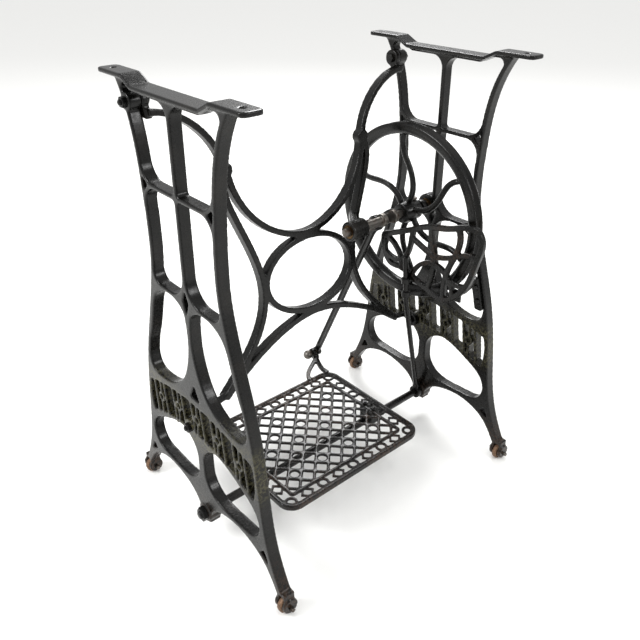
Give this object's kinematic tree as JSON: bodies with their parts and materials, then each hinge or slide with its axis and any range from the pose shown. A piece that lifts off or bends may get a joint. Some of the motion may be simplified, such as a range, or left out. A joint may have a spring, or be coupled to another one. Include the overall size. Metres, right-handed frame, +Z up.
{
  "type": "treadle sewing machine stand",
  "caption": "Cast-iron treadle stand: openwork side frames, rear brace, drive wheel on a crank shaft, pitman rod, latticed rocking treadle, dress guard and foot rollers.",
  "frame": {"origin": "on the floor under the middle of the stand", "axes": "+X towards the drive wheel side, -Y towards the sitter, +Z up"},
  "size_m": [0.532, 0.41, 0.7],
  "materials": {
    "black_iron": "worn black enamel on cast iron",
    "dark_steel": "darkened turned steel",
    "bronze": "oiled bronze bush",
    "worn_iron": "bare iron worn brown"
  },
  "bodies": {
    "stand": {"left_side_frame": "black_iron", "right_side_frame": "black_iron", "rear_brace": "black_iron", "brace_bolts": "dark_steel", "brace_nuts": "dark_steel", "left_shaft_bush": "bronze", "right_shaft_bush": "bronze", "roller_pins": "dark_steel", "treadle_rod": "dark_steel", "treadle_rod_nuts": "dark_steel", "rod_collars": "black_iron", "dress_guard": "black_iron", "guard_bracket": "black_iron", "guard_bolts": "dark_steel", "guard_post": "black_iron", "post_collars": "black_iron"},
    "wheel": {"drive_wheel": "black_iron", "crank_shaft": "dark_steel", "wheel_set_screw": "dark_steel", "shaft_collar": "black_iron"},
    "pitman": {"pitman_rod": "black_iron", "pitman_bush": "bronze", "pitman_foot_bush": "bronze"},
    "treadle": {"treadle_plate": "black_iron", "treadle_bearings": "black_iron", "treadle_bearing_screws": "dark_steel", "pitman_ball_stud": "dark_steel"},
    "front_left_roller": {"roller_front_left": "worn_iron"},
    "front_right_roller": {"roller_front_right": "worn_iron"},
    "rear_left_roller": {"roller_rear_left": "worn_iron"},
    "rear_right_roller": {"roller_rear_right": "worn_iron"}
  },
  "joints": [
    {"name": "wheel_spin", "type": "hinge", "parent": "stand", "child": "wheel", "pos_m": [0.188, 0.014, 0.43], "axis": [1, 0, 0], "continuous": true},
    {"name": "pitman_swing", "type": "hinge", "parent": "wheel", "child": "pitman", "pos_m": [0.141, 0.04114, 0.41304], "axis": [1, 0, 0], "continuous": true},
    {"name": "treadle_rock", "type": "hinge", "parent": "stand", "child": "treadle", "pos_m": [0, 0, 0.048], "axis": [1, 0, 0], "range_deg": [-9.5, 9.5]},
    {"name": "front_left_roller_spin", "type": "hinge", "parent": "stand", "child": "front_left_roller", "pos_m": [-0.244, -0.188, 0.014], "axis": [0, 1, 0], "continuous": true},
    {"name": "front_right_roller_spin", "type": "hinge", "parent": "stand", "child": "front_right_roller", "pos_m": [0.244, -0.188, 0.014], "axis": [0, 1, 0], "continuous": true},
    {"name": "rear_left_roller_spin", "type": "hinge", "parent": "stand", "child": "rear_left_roller", "pos_m": [-0.244, 0.188, 0.014], "axis": [0, 1, 0], "continuous": true},
    {"name": "rear_right_roller_spin", "type": "hinge", "parent": "stand", "child": "rear_right_roller", "pos_m": [0.244, 0.188, 0.014], "axis": [0, 1, 0], "continuous": true}
  ],
  "couplings": [
    {"joint": "pitman_swing", "follows": "wheel_spin", "ratio": -1}
  ]
}
